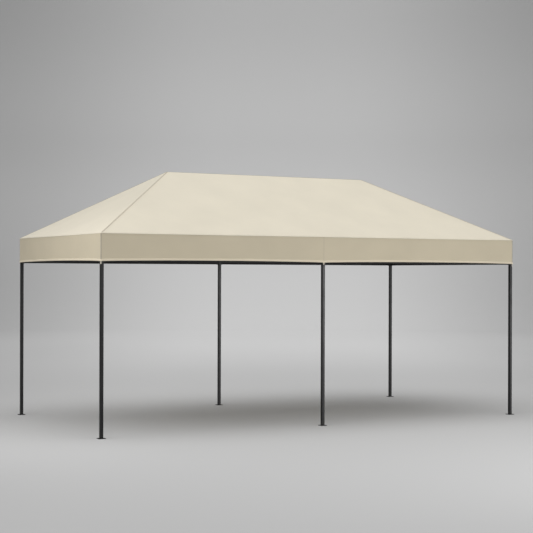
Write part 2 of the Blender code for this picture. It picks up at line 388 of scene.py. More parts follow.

# %% [markdown]
# ## The cream cloth
# The cloth is woven polyester with a thin coat: a fine weave that only shows close by, a soft sheen,
# slight clouds where the coat is thicker, and long shallow creases. Light comes through it a little,
# by a Translucent shader mixed in. The valance is seen in shade, and its colour is a darker copy of
# the roof cloth: painted shade.

# %% Helpers for finishes
def new_finish(name):
    """A new material with its tree and its Principled shader."""
    material = bpy.data.materials.new(name)
    material.use_nodes = True
    return material, material.node_tree, material.node_tree.nodes["Principled BSDF"]


def feed(tree, made, inputs):
    """Feed a node's inputs with numbers or with other nodes' outputs."""
    for name, value in inputs.items():
        if isinstance(value, bpy.types.NodeSocket):
            tree.links.new(value, made.inputs[name])
        else:
            made.inputs[name].default_value = value


def node(tree, kind, output, inputs, **settings):
    """Add a node, set it and feed it, and give back one of its outputs."""
    made = tree.nodes.new(kind)
    for name, value in settings.items():
        setattr(made, name, value)
    feed(tree, made, inputs)
    return made.outputs[output]


def grain(tree, where, size, detail=2.0, roughness=0.5):
    """Noise whose lumps are about a given size in metres."""
    inputs = {"Vector": where, "Scale": 1 / size, "Detail": detail, "Roughness": roughness}
    return node(tree, "ShaderNodeTexNoise", "Fac", inputs)


def between(tree, amount, low, high, start=0.0, end=1.0, how="LINEAR"):
    """Turn an amount from start to end into a value from low to high."""
    inputs = {"Value": amount, "From Min": start, "From Max": end, "To Min": low, "To Max": high}
    return node(tree, "ShaderNodeMapRange", "Result", inputs, interpolation_type=how)


def sums(tree, how, first, second):
    """A sum of two values, such as ADD or MULTIPLY."""
    return node(tree, "ShaderNodeMath", 0, {0: first, 1: second}, operation=how)


def tint(tree, amount, low, high):
    """A colour from low to high by an amount; low may be another node's output."""
    low = low if isinstance(low, bpy.types.NodeSocket) else (*low, 1)
    inputs = {"Factor": amount, "A": low, "B": (*high, 1)}
    return node(tree, "ShaderNodeMix", "Result", inputs, data_type="RGBA")


def relief(tree, height, depth, **under):
    """A bump of a height in metres, on top of another that is given as Normal."""
    inputs = {"Height": height, "Distance": depth, "Strength": 1, **under}
    return node(tree, "ShaderNodeBump", "Normal", inputs)


# %% Weave the cloth
THREAD = 0.0011
THREAD_DEPTH = 0.00012
CLOUD, CREASE, SLUB = 0.55, 0.42, 0.006
WAVES_IN_A_UNIT = 20 / (2 * math.pi)


def threads(tree, where, direction, pitch):
    """Parallel threads across a map, with their pitch in metres."""
    inputs = {"Vector": where, "Scale": 1 / (pitch * WAVES_IN_A_UNIT)}
    return node(tree, "ShaderNodeTexWave", "Fac", inputs, wave_type="BANDS", bands_direction=direction)


def cloth_finish(name, colour, see_through=0.0, thread=THREAD, creases=0.001):
    """Woven coated cloth in one colour, on the map named cloth."""
    material, tree, shader = new_finish(name)
    where = node(tree, "ShaderNodeUVMap", "UV", {}, uv_map="cloth")
    weave = sums(tree, "MAXIMUM", threads(tree, where, "X", thread), threads(tree, where, "Y", thread))
    clouds = between(tree, grain(tree, where, CLOUD, 3), 0, 0.7, 0.3, 0.7)
    slubs = grain(tree, where, SLUB)
    shade = sums(tree, "ADD", clouds, between(tree, slubs, 0, 0.3, 0.3, 0.7))
    paint = tint(tree, shade, [0.955 * c for c in colour], [1.03 * c for c in colour])
    long_folds = relief(tree, grain(tree, where, CREASE, 1.5, 0.4), creases)
    bumps = relief(tree, weave, THREAD_DEPTH, Normal=long_folds)
    feed(tree, shader, {"Base Color": paint, "Roughness": between(tree, slubs, 0.62, 0.78), "Normal": bumps,
                        "Sheen Weight": 0.12, "Sheen Roughness": 0.4, "Specular IOR Level": 0.4})
    glow = node(tree, "ShaderNodeBsdfTranslucent", "BSDF", {"Color": paint, "Normal": bumps})
    mix = {"Fac": see_through, 1: shader.outputs["BSDF"], 2: glow}
    surface = node(tree, "ShaderNodeMixShader", "Shader", mix)
    feed(tree, tree.nodes["Material Output"], {"Surface": surface})
    return material


roof_cloth = cloth_finish("roof_cloth", (0.745, 0.690, 0.565), see_through=0.1, creases=0.0035)
# The valance's colour is the roof cloth darkened: painted shade, not a different cloth.
valance_cloth_painted_shade = cloth_finish("valance_cloth_painted_shade", (0.690, 0.612, 0.455), see_through=0.1, creases=0.0025)
# Painted shade: the seams' cloth is a much darker copy of the roof cloth.
seam_cloth_painted_shade = cloth_finish("seam_cloth_painted_shade", (0.480, 0.428, 0.335))
# Painted shade: a copy of the valance cloth, a little darker, for the middle joins.
join_cloth_painted_shade = cloth_finish("join_cloth_painted_shade", (0.635, 0.565, 0.422))
print("cloth finishes made")

# %% Finish the cover
CLOTH_THICK = 0.0008

cover.data.materials.append(roof_cloth)
cover.data.materials.append(valance_cloth_painted_shade)
# Faces that look up take the roof cloth; the valance faces take its darker copy, with painted shade.
for face in cover.data.polygons:
    face.material_index = 0 if face.normal.z > 0.3 else 1
thicken(cover, CLOTH_THICK, use_even_offset=True)
put_on(cover, None)
COVER_NODES = [n for n in nodes if n.startswith(("roof_panel_", "valance_"))]
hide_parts(*COVER_NODES)
print("cover replaces", len(COVER_NODES), "solids;", len(cover.data.polygons), "faces")

# %% [markdown]
# ## Strips and rings from the same sheet
# A sewn strip lies on the cloth, so it is made from the same places: a small grid is added, and each
# of its points goes to its place on the cloth. What runs right round the cover follows a list of
# stations, close together where the corners turn.

# %% Helpers that lay strips
def lay_grid(name, rows):
    """A grid whose points are given row by row, with its cloth map in metres."""
    across, along = len(rows) - 1, len(rows[0]) - 1
    strip = added(bpy.ops.mesh.primitive_grid_add, name, x_subdivisions=along, y_subdivisions=across, size=1)
    strip.data.name = name
    layer = strip.data.uv_layers[0]
    layer.name = "cloth"
    spot = [(round((v.co.x + 0.5) * along), round((v.co.y + 0.5) * across)) for v in strip.data.vertices]
    walk, climb = [0.0], [0.0]
    for first, second in zip(rows[0], rows[0][1:]):
        walk.append(walk[-1] + (second - first).length)
    for first, second in zip(rows, rows[1:]):
        climb.append(climb[-1] + (second[0] - first[0]).length)
    for loop in strip.data.loops:
        i, j = spot[loop.vertex_index]
        layer.data[loop.index].uv = (walk[i], climb[j])
    for point, (i, j) in zip(strip.data.vertices, spot):
        point.co = rows[j][i]
    return strip


# %% Stations and rings round the cover
def stations():
    """Places round the cover, each with its way out, closed by the first one again."""
    found = []
    for side in range(4):
        turn = Matrix.Rotation(math.pi / 2 * side, 3, "Z")
        out = turn @ -Y
        half, reach = (HALF_WIDTH, HALF_LENGTH) if side % 2 else (HALF_LENGTH, HALF_WIDTH)
        half -= FOLD
        count = round(2 * half / RIDGE_END * CELLS)
        for number in range(count + 1):
            found.append((turn @ Vector((-half + 2 * half * number / count, -reach, 0)), out))
        for number in (1, 2):
            way = Matrix.Rotation(math.pi / 6 * number, 3, "Z") @ out
            found.append((turn @ Vector((half, FOLD - reach, 0)) + FOLD * way, way))
    return found + found[:1]


STATIONS = stations()


def ring_line(z, out):
    """A line round the valance at a height of the flat sheet, a little way out."""
    return [cloth_place((p.x, p.y, z)) + way * out for p, way in STATIONS]


def lay_ring(name, profile):
    """A closed ring round the cover, from a closed profile of (out, height) points."""
    rows = [ring_line(z, out) for out, z in profile]
    ring = lay_grid(name, rows + rows[:1])
    face_out(ring, NEAR / 2)
    return ring


print(len(STATIONS), "stations")

# %% [markdown]
# ## The hem and the piping
# The bottom of the valance is turned up and sewn, which makes a band three layers thick that stands
# out slightly. Its colour is lighter than the valance cloth around it: a painted highlight along the
# hem. Along the eave, a thin piping gives the roof its crisp edge, with a fine shadow; its colour is a
# little lighter than the roof cloth, a faint painted highlight.

# %% Hem and piping
HEM_BAND = 0.024
HEM_PROFILE = [(0.0002, 0.0245), (0.0014, 0.0236), (0.0017, 0.0215), (0.0019, 0.012), (0.0018, 0.003),
               (0.0012, 0.0002), (-0.0004, -0.0008), (-0.0019, 0.0002), (-0.0024, 0.003),
               (-0.0024, 0.0215), (-0.0014, 0.0236)]
PIPING = 0.0033
PIPING_OUT = 0.0012
PIPING_LINE = EAVE - 0.0045

hem = lay_ring("hem", [(out, HEM + z) for out, z in HEM_PROFILE])
# The hem's lighter colour is a painted highlight.
put_on(hem, cloth_finish("hem_cloth_painted_highlight", (0.735, 0.655, 0.505)))
circle = [(math.cos(math.pi * k / 4), math.sin(math.pi * k / 4)) for k in range(8)]
piping = lay_ring("eave_piping", [(PIPING_OUT + PIPING * a, PIPING_LINE + PIPING * b) for a, b in circle])
# The piping's slightly lighter colour is a faint painted highlight.
put_on(piping, cloth_finish("piping_cloth_painted_highlight", (0.76, 0.705, 0.58)), 60)
print("hem and piping:", len(hem.data.polygons), "and", len(piping.data.polygons), "faces")

# %% [markdown]
# ## The seams of the roof
# Each hip is a flat-felled seam: the two panels are folded into each other and sewn down flat, so a
# strip of double cloth lies along one side of the crest. No light comes through it, and its colour is
# painted much darker than the cloth: painted shade that draws a dark line along the crest. One is laid
# and the others are its mirror images.

# %% Hip and ridge seams
SEAM_LIFT, SEAM_SINK = 0.0009, 0.0006
SEAM_EDGE = 0.0005
SEAM_STEPS = 60
HIP_SEAM = (-0.003, 0.014)
HIP_TUCK = 0.007
RIDGE_SEAM = (-0.014, 0.003)
CORNER_IN = 0.012


def roof_line(first, last, aside, lift, steps):
    """Points on the roof between two places in plan, moved aside and lifted a little."""
    way = (last - first).normalized()
    spots = [first + (last - first) * i / steps + Vector((way.y, -way.x)) * aside for i in range(steps + 1)]
    return [Vector((x, y, roof_height(x, y) + lift)) for x, y in spots]


def seam_over(name, first, last, edge, tuck=0.0):
    """A strip of folded cloth on the roof between two places in plan; its foot can be tucked in."""
    asides = [edge[0] + (edge[1] - edge[0]) * k / 4 for k in range(5)]
    rows = [roof_line(first, last, aside, SEAM_LIFT, SEAM_STEPS) for aside in asides]
    way = (last - first).normalized()
    for row in rows:
        row[0] -= Vector((way.x, way.y, 0.8)) * tuck
    strip = lay_grid(name, rows)
    thicken(strip, SEAM_LIFT + SEAM_SINK)
    soften(strip, SEAM_EDGE, 1)
    return strip


corner = Vector((-HALF_LENGTH + CORNER_IN, -HALF_WIDTH + CORNER_IN))
ridge_left, ridge_right = Vector((-RIDGE_END, 0)), Vector((RIDGE_END, 0))
hip_seam = seam_over("hip_seam_front_left", corner, ridge_left, HIP_SEAM, HIP_TUCK)
seams = [hip_seam, *mirrored(hip_seam, "hip_seam", "left")]
seams.append(seam_over("ridge_seam", ridge_left, ridge_right, RIDGE_SEAM))
# The seams take the darker cloth: painted shade along the hips and the ridge.
for seam in seams:
    put_on(seam, seam_cloth_painted_shade)
print(len(seams), "roof seams")

# %% [markdown]
# ## Powder-coated steel and moulded nylon
# The tubes carry a satin black powder coat. Close by it has a faint orange peel, and its gloss
# changes a little from place to place, with a light dust low down on the legs. The rails and rafters
# under the cover are duller, and so are the foot plates. The brackets are moulded nylon, finely
# grained.

# %% Black finishes
DUST = (0.17, 0.16, 0.14)


def coat_finish(name, colour, gloss, peel=0.0022, peel_depth=0.00006, shine=0.27, dusty=False):
    """A coat with orange peel, uneven gloss and, low down, some dust."""
    material, tree, shader = new_finish(name)
    place = node(tree, "ShaderNodeTexCoord", "Object", {})
    patches, fine = grain(tree, place, 0.12, 3), grain(tree, place, 0.012)
    paint = tint(tree, between(tree, patches, 0, 1, 0.3, 0.7), colour, [1.25 * c for c in colour])
    if dusty:
        height = node(tree, "ShaderNodeSeparateXYZ", "Z", {"Vector": place})
        low_down = between(tree, height, 1, 0, 0, 0.09)
        dust = sums(tree, "MULTIPLY", low_down, between(tree, fine, 0, 0.18, 0.4, 0.75))
        paint = tint(tree, dust, paint, DUST)
    rough = between(tree, sums(tree, "ADD", patches, fine), *gloss, 0.6, 1.4)
    bumps = relief(tree, grain(tree, place, peel, 1), peel_depth)
    feed(tree, shader, {"Base Color": paint, "Roughness": rough, "Normal": bumps,
                        "Specular IOR Level": shine})
    return material


leg_coat = coat_finish("leg_coat", (0.0055, 0.0055, 0.006), (0.28, 0.42), dusty=True)
foot_coat = coat_finish("foot_coat", (0.0045, 0.0045, 0.005), (0.60, 0.74), shine=0.08)
rail_coat = coat_finish("rail_coat", (0.0045, 0.0045, 0.005), (0.52, 0.66))
nylon = coat_finish("nylon", (0.010, 0.010, 0.011), (0.52, 0.66), peel=0.0011, peel_depth=0.00008)
COATS = {"leg": leg_coat, "foot": foot_coat, "bracket": nylon, "ridge_hub": nylon}
for name, part in nodes.items():
    if name not in COVER_NODES:
        part.data.materials.clear()
        part.data.materials.append(next((COATS[kind] for kind in COATS if name.startswith(kind)), rail_coat))
print("frame finished in", len(nodes) - len(COVER_NODES), "pieces")

# %% [markdown]
# ## Seams down the valance
# The long valance is joined at each leg: on the fold at the corners, and in the middle of the long
# sides. Each join is a narrow strip of double cloth from the piping to the hem band. The corner joins
# take the seams' much darker cloth and the middle joins a cloth a little darker than the valance:
# painted shade along the fold and the join.

# %% Valance seams
JOIN_WIDTH = 0.010
JOIN_LIFT, JOIN_SINK = 0.001, 0.0005
JOIN_ON_END, JOIN_ON_FRONT = 0.001, 0.007
JOIN_TOP = PIPING_LINE - PIPING
JOIN_HEIGHTS = [JOIN_TOP + (HEM + HEM_BAND - JOIN_TOP) * j / 12 for j in range(13)]


def join_down(name, plan):
    """A strip down the valance over a few places in plan, each with its way out."""
    rows = [[cloth_place((p.x, p.y, z)) + way * JOIN_LIFT for p, way in plan] for z in JOIN_HEIGHTS]
    strip = lay_grid(name, rows)
    face_out(strip)
    if sum(face.normal.y for face in strip.data.polygons) > 0:
        strip.data.flip_normals()
    thicken(strip, JOIN_LIFT + JOIN_SINK)
    soften(strip, SEAM_EDGE, 1, angle_limit=math.radians(50))
    return strip


fold_middle = Vector((-HALF_LENGTH + FOLD, -HALF_WIDTH + FOLD, 0))
ways = [Matrix.Rotation(math.pi / 6 * k, 3, "Z") @ -X for k in range(4)]
corner_plan = [(fold_middle - FOLD * X + JOIN_ON_END * Y, -X)]
corner_plan += [(fold_middle + FOLD * way, way) for way in ways]
corner_plan.append((fold_middle - FOLD * Y + JOIN_ON_FRONT * X, -Y))
middle_plan = [(Vector((JOIN_WIDTH * (i / 2 - 0.5), -HALF_WIDTH, 0)), -Y) for i in range(3)]
corner_join = join_down("valance_seam_front_left", corner_plan)
middle_join = join_down("valance_seam_front_middle", middle_plan)
TO_BACK = Matrix.Diagonal((1, -1, 1, 1))
joins = [corner_join, middle_join, copy_of(middle_join, "valance_seam_back_middle", TO_BACK),
         *mirrored(corner_join, "valance_seam", "left")]
# The joins' darker colours are painted shade.
for strip in joins:
    put_on(strip, join_cloth_painted_shade if "middle" in strip.name else seam_cloth_painted_shade)
print(len(joins), "valance seams")

# %% [markdown]
# ## Stitches
# One stitch is a small spindle, flattened and half sunk in the cloth. It is modelled once with few
# faces, because there are many hundreds: each is turned along the seam and stood on the cloth.

# %% Helpers that sew
STITCH = (0.0030, 0.0007, 0.0006)
STITCH_PITCH = 0.0095
SLOPE_STEP = 0.004

spindle = added(bpy.ops.mesh.primitive_uv_sphere_add, "spindle", segments=4, ring_count=3, radius=1,
                rotation=(0, math.pi / 2, 0), scale=STITCH[::-1])
SPINDLE = ([v.co.copy() for v in spindle.data.vertices], [tuple(f.vertices) for f in spindle.data.polygons])
bpy.data.objects.remove(spindle)


def spaced(points, outs):
    """Equally spaced places on a line of points: (place, along, out)."""
    spots, left = [], STITCH_PITCH / 2
    for first, second, out in zip(points, points[1:], outs):
        run = second - first
        while left < run.length:
            spots.append((first + run * (left / run.length), run.normalized(), out))
            left += STITCH_PITCH
        left -= run.length
    return spots


def ring_row(z, out):
    """A row of stitches round the valance at a height."""
    return spaced(ring_line(z, out), [way for _, way in STATIONS])


def roof_row(first, last, aside, lift, steps=40):
    """A row of stitches on the roof between two places in plan, moved aside."""
    line = roof_line(first, last, aside, lift, steps)
    outs = []
    for x, y, _ in line:
        rise_x = roof_height(x + SLOPE_STEP, y) - roof_height(x - SLOPE_STEP, y)
        rise_y = roof_height(x, y + SLOPE_STEP) - roof_height(x, y - SLOPE_STEP)
        outs.append(Vector((-rise_x, -rise_y, 2 * SLOPE_STEP)).normalized())
    return spaced(line, outs)


def sew(name, rows):
    """One piece of thread stitches from rows of (place, along, out)."""
    places, faces = [], []
    for spot, along, out in [spot for row in rows for spot in row]:
        side = out.cross(along).normalized()
        turn = Matrix((along, side, along.cross(side))).transposed()
        start = len(places)
        places += [spot + turn @ p for p in SPINDLE[0]]
        faces += [tuple(start + k for k in face) for face in SPINDLE[1]]
    mesh = bpy.data.meshes.new(name)
    mesh.from_pydata(places, [], faces)
    piece = bpy.data.objects.new(name, mesh)
    bpy.context.scene.collection.objects.link(piece)
    return piece


print("one stitch has", len(SPINDLE[1]), "faces")

# %% Rows of thread
IN_FROM_EDGE = 0.003
ROW_END = 0.015
ROW_LIFT = 0.0003
BESIDE_FOLD, BESIDE_MIDDLE = 0.0045, 0.0025

roof_rows = []
for flip_x in (-1, 1):
    for flip_y in (-1, 1):
        foot, head = Vector((flip_x * corner.x, flip_y * corner.y)), -flip_x * ridge_right
        for aside in (HIP_SEAM[0] + IN_FROM_EDGE, HIP_SEAM[1] - IN_FROM_EDGE):
            roof_rows.append(roof_row(foot, head, flip_x * flip_y * aside, SEAM_LIFT))
for aside in (RIDGE_SEAM[0] + IN_FROM_EDGE, RIDGE_SEAM[1] - IN_FROM_EDGE):
    roof_rows.append(roof_row(ridge_left, ridge_right, aside, SEAM_LIFT))
row_x, row_y = HALF_LENGTH - ROW_END, HALF_WIDTH - ROW_END
eave_rows = [((-row_x, y), (row_x, y), 320) for y in (corner.y, -corner.y)]
eave_rows += [((x, -row_y), (x, row_y), 160) for x in (corner.x, -corner.x)]
roof_rows += [roof_row(Vector(first), Vector(last), 0, ROW_LIFT, steps) for first, last, steps in eave_rows]
down_rows = []
fold_x = HALF_LENGTH - FOLD - BESIDE_FOLD
for x in (-fold_x, -BESIDE_MIDDLE, BESIDE_MIDDLE, fold_x):
    for out in (-Y, Y):
        line = [cloth_place((x, out.y * HALF_WIDTH, z)) + out * JOIN_LIFT for z in JOIN_HEIGHTS]
        down_rows.append(spaced(line, [out] * len(line)))
print(len(roof_rows), "rows on the roof,", len(down_rows), "down the valance")

# %% Sew the cover
HEM_ROWS = ((0.0205, 0.0018), (0.0050, 0.0020))
EAVE_ROW = (0.0125, 0.0001)

thread, tree, shader = new_finish("thread")
place = node(tree, "ShaderNodeTexCoord", "Object", {})
feed(tree, shader, {"Base Color": (0.60, 0.535, 0.41, 1),
                    "Roughness": between(tree, grain(tree, place, 0.0012, 1), 0.5, 0.8),
                    "Normal": relief(tree, grain(tree, place, 0.0005, 1), 0.0001)})
stitches = [sew("hem_stitches", [ring_row(HEM + up, out) for up, out in HEM_ROWS]),
            sew("eave_stitches", [ring_row(EAVE - EAVE_ROW[0], EAVE_ROW[1])]),
            sew("roof_stitches", roof_rows), sew("valance_stitches", down_rows)]
for row in stitches:
    put_on(row, thread, 60)
    print(row.name, len(row.data.polygons) // len(SPINDLE[1]), "stitches")

# %% [markdown]
# ## Tabs that show below the hem
# At each leg a short tab of webbing comes out from under the hem and is held on the leg with a
# press stud, so that wind can't lift the valance. At the corners the tab is folded round the leg's
# edge. On the middle legs it is flat with a pointed end.

# %% Webbing tabs
TAB_GAP = 0.0006
TAB_THICK = 0.0013
TAB_TOP = HEM + 0.018
CORNER_REACH, CORNER_HALF = 0.027, 0.0095
FLAT_REACH, FLAT_HALF = 0.022, 0.012
TIP_START, TIP_LOSS = 0.85, 0.45
POINT_HEIGHT, POINT_BLUNT = 0.016, 0.12
LEG_RADIUS = 0.005
FACE = LEG_SIZE / 2

webbing = cloth_finish("webbing", (0.69, 0.64, 0.53), thread=0.0026)
leg, flat, r = LEG["front_right"], CORNER_HALF - LEG_RADIUS, LEG_RADIUS + TAB_GAP
edge = Vector((leg.x + FACE - LEG_RADIUS, leg.y - FACE + LEG_RADIUS))
turns = [math.pi / 12 * k for k in range(7)]
walk = [edge + Vector((-flat + flat * k / 3, -r)) for k in range(3)]
walk += [edge + r * Vector((math.sin(turn), -math.cos(turn))) for turn in turns]
walk += [edge + Vector((r, flat * k / 3)) for k in range(1, 4)]


def corner_tab_plan(down):
    """The corner tab's plan at a share of the way down, narrower at its tip."""
    tip = max(0, (down - TIP_START) / (1 - TIP_START))
    return [walk[6] + (p - walk[6]) * (1 - TIP_LOSS * tip * tip) for p in walk]


def flat_tab_plan(down):
    """The flat tab's plan at a share of the way down, pointed at its end."""
    left = (TAB_TOP - HEM + FLAT_REACH) * (1 - down)
    width = FLAT_HALF * min(1, left / POINT_HEIGHT + POINT_BLUNT)
    return [(-width + width * i / 3, LEG["front_middle"].y - FACE - TAB_GAP) for i in range(7)]


def tab_rows(plan, reach, steps):
    """Rows of points from under the hem down to the tip of a tab."""
    rows = []
    for j in range(steps + 1):
        z = TAB_TOP - (TAB_TOP - HEM + reach) * j / steps
        rows.append([Vector((x, y, z)) for x, y in plan(j / steps)])
    return rows


corner_tab = lay_grid("tab_front_right", tab_rows(corner_tab_plan, CORNER_REACH, 16))
face_out(corner_tab)
flat_tab = lay_grid("tab_front_middle", tab_rows(flat_tab_plan, FLAT_REACH, 12))
for tab in (corner_tab, flat_tab):
    thicken(tab, TAB_THICK, 1)
tabs = [corner_tab, flat_tab, copy_of(flat_tab, "tab_back_middle", TO_BACK),
        *mirrored(corner_tab, "tab", "right")]
for tab in tabs:
    put_on(tab, webbing, 50)
print(len(tabs), "tabs")

# %% [markdown]
# ## Straps inside
# Under the roof the cover is tied to the frame with straps of webbing: one round each leg, two round
# each eave rail and two round each rafter. A strap is a band round the bar, and a second layer where
# its end laps.

# %% Make a strap
STRAP_WIDTH, LAP_WIDTH = 0.025, 0.023
STRAP_THICK = 0.0012
STRAP_GAP, LAP_GAP = 0.0004, 0.0002
STRAP_CORNER = 0.004


def strap_round(centre, along, up, size):
    """A webbing loop round a bar of a given width and height, with its lap on the lower side."""
    along = along.normalized()
    side = up.cross(along).normalized()
    top = along.cross(side)
    width, height = size[0] / 2 + STRAP_GAP, size[1] / 2 + STRAP_GAP
    loop = []
    for quarter, (sign_x, sign_y) in enumerate(((1, 1), (-1, 1), (-1, -1), (1, -1))):
        for k in range(4):
            turn = math.pi / 2 * (quarter + k / 3)
            loop.append((sign_x * (width - STRAP_CORNER) + STRAP_CORNER * math.cos(turn),
                         sign_y * (height - STRAP_CORNER) + STRAP_CORNER * math.sin(turn)))

    def band(points, wide):
        """A strip across the bar, through points of the bar's cross-section."""
        return lay_grid("strap", [[centre + along * (wide * share) + side * a + top * b for a, b in points]
                                  for share in (-0.5, 0.0, 0.5)])

    ring = band(loop + loop[:1], STRAP_WIDTH)
    face_out(ring, NEAR / 2)
    thicken(ring, STRAP_THICK, 1)
    below = -height - STRAP_THICK - LAP_GAP
    lap = band([(-width * 0.7, below), (0, below), (width * 0.8, below)], LAP_WIDTH)
    thicken(lap, STRAP_THICK, 0)
    return join("strap", [ring, lap])


# %% Where the bars of the frame lie
RAFTER_DROP = 0.0225


def is_corner(leg):
    return abs(leg.x) > 1


def inward_x(spot):
    return Vector((-math.copysign(1, spot.x), 0, 0))


def inward_y(spot):
    return Vector((0, -math.copysign(1, spot.y), 0))


def rails(kind):
    """The lowest and highest corners of each rail of a kind, and the way it runs."""
    boxes = [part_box(name) for name in nodes if name.startswith(kind)]
    return [(low, high, X if high.x - low.x > high.y - low.y else Y) for low, high in boxes]


def rafter_line(leg):
    """The foot and the head of the middle line of the rafter over a leg."""
    foot = Vector((leg.x, leg.y, EAVE + PITCH * (HALF_WIDTH - abs(leg.y)) - RAFTER_DROP))
    return foot, Vector((math.copysign(RIDGE_END, leg.x) if is_corner(leg) else 0, 0, RIDGE - RAFTER_DROP))


# %% Strap the cover to the bars
RAFTER = (0.025, 0.025)
EAVE_RAIL = (0.020, 0.040)
LEG_STRAP = HEM + 0.16

straps = {"leg": [], "eave": [], "rafter": []}
for leg in LEG.values():
    spot = Vector((leg.x, leg.y, LEG_STRAP))
    straps["leg"].append(strap_round(spot, Z, -inward_y(leg), (LEG_SIZE, LEG_SIZE)))
for low, high, run in rails("eave_rail_"):
    for share in (-0.25, 0.25):
        spot = (low + high) / 2 + run * (high - low).dot(run) * share
        straps["eave"].append(strap_round(spot, run, Z, EAVE_RAIL))
for foot, head in map(rafter_line, LEG.values()):
    for share in (0.35, 0.7):
        straps["rafter"].append(strap_round(foot + (head - foot) * share, head - foot, Z, RAFTER))
all_straps = [join(f"{kind}_straps", members) for kind, members in straps.items()]
for strap in all_straps:
    put_on(strap, webbing, 50)
    print(strap.name, len(strap.data.polygons), "faces")

# %% [markdown]
# ## Sockets for the lower rails
# A moulded socket holds each end of each lower rail: a flat flange, and on it a collar. By hand: a
# flat box for the flange, its outer face inset and pulled out into the collar, the collar's end inset
# again and pushed back in to make the pocket. It is made once at a leg that stands at the origin.

# %% Make a rail socket
FLANGE = (0.003, 0.030, 0.058)
COLLAR = (0.019, 0.0254, 0.046)
POCKET_WALL, POCKET_FLOOR = 0.0024, 0.0002
low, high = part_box("lower_rail_left")
RAIL_MIDDLE = (low.z + high.z) / 2
FLANGE_MIDDLE = RAIL_MIDDLE + 0.004

place = (FACE + FLANGE[0] / 2, 0, FLANGE_MIDDLE)
socket = added(bpy.ops.mesh.primitive_cube_add, "socket", size=1, location=place, scale=FLANGE)
begin(socket)
pick(socket, "faces", facing(X))
bpy.ops.mesh.inset(thickness=(FLANGE[1] - COLLAR[1]) / 2)
tall = FLANGE[2] - FLANGE[1] + COLLAR[1]
bpy.ops.transform.resize(value=(1, 1, COLLAR[2] / tall), center_override=(FACE, 0, FLANGE_MIDDLE))
bpy.ops.transform.translate(value=(0, 0, RAIL_MIDDLE - FLANGE_MIDDLE))
pull((COLLAR[0], 0, 0))
bpy.ops.mesh.inset(thickness=POCKET_WALL)
pull((POCKET_FLOOR - FLANGE[0] - COLLAR[0], 0, 0))
done()
soften(socket, 0.0007)
print("socket with", len(socket.data.polygons), "faces")


# %% Put one at each rail end
def rail_ends():
    """Each end of each lower rail: the leg's place in plan and the way the rail leaves it."""
    ends = []
    for low, high, run in rails("lower_rail_"):
        for spot, way in ((low, run), (high, -run)):
            ends.append((min(LEG.values(), key=lambda place: (place - spot.xy).length), way))
    return ends


sockets = []
for leg, way in rail_ends():
    turn = Matrix.Rotation(math.atan2(way.y, way.x), 4, "Z")
    sockets.append(copy_of(socket, "rail_socket", Matrix.Translation((leg.x, leg.y, 0)) @ turn))
bpy.data.objects.remove(socket)
put_on(join("rail_sockets", sockets), nylon, 35)
print(len(sockets), "rail sockets")

# %% [markdown]
# ## Screws, bolts, spring buttons and press studs
# Each is modelled once, pointing up. A button-head screw is a short cylinder whose top is narrowed
# to a dome and then sunk again for the key. A foot bolt is a larger one on a washer. A spring button
# is a round-nosed pin, and a press stud's cap is a low dome with a rolled rim.

# %% Model the fixings
SCREW_DOME = ((0.84, 0.30), (0.70, 0.16), (0.80, 0.05))
BUTTON_NOSE = ((0.92, 0.35), (0.75, 0.25), (0.5, 0.12))
STUD_DOME = ((0.85, 0.0006), (0.6, 0.0002))
STUD_THICK, STUD_SINK = 0.0009, 0.0003


def upright(name, sides, radius, height):
    """A cylinder that stands on the origin."""
    return added(bpy.ops.mesh.primitive_cylinder_add, name, vertices=sides, radius=radius, depth=height,
                 location=(0, 0, height / 2))


def dome(steps, size):
    """Pull up what is selected in steps, each narrower than the last."""
    for share, rise in steps:
        pull((0, 0, rise * size))
        bpy.ops.transform.resize(value=(share, share, 1), center_override=(0, 0, 0))


def make_screw(radius, height, key):
    """A button-head screw with a sunk key."""
    screw = upright("screw", 24, radius, height)
    begin(screw)
    pick(screw, "faces", facing(Z))
    dome(SCREW_DOME, height)
    bpy.ops.mesh.inset(thickness=radius * math.prod(share for share, _ in SCREW_DOME) * (1 - key))
    pull((0, 0, -0.9 * height))
    done()
    return screw


def make_washer(radius, thick):
    washer = upright("washer", 32, radius, thick)
    soften(washer, thick * 0.3)
    return washer


def make_button(radius, height):
    """A spring button: a pin with a round nose."""
    button = upright("button", 16, radius, height)
    begin(button)
    pick(button, "faces", facing(Z))
    dome(BUTTON_NOSE, radius)
    done()
    return button


def make_stud(radius):
    """A press stud: the middle of a thin disc sunk inside its rim, and raised in two steps."""
    stud = upright("stud", 24, radius, STUD_THICK)
    begin(stud)
    pick(stud, "faces", facing(Z))
    bpy.ops.mesh.inset(thickness=radius * 0.2)
    bpy.ops.transform.translate(value=(0, 0, -STUD_SINK))
    dome(STUD_DOME, 1)
    done()
    soften(stud, 0.0002)
    return stud


# %% [markdown]
# ## Where they sit
# One screw holds each socket, two each plug of a leg-top bracket, and one each end of an eave rail.
# The foot plate's sleeve is bolted through the leg. Rafters and ridge poles have a spring button on
# their underside, and a stud sits on each tab, close to the leg's outer edge at the corners.

# %% Screws and bolts
SOCKET_SCREW = RAIL_MIDDLE + 0.0285
FOOT_BOLT = 0.030
PLUG_SCREWS = (EAVE - 0.075, EAVE - 0.095)
RAIL_SCREW_IN = 0.018

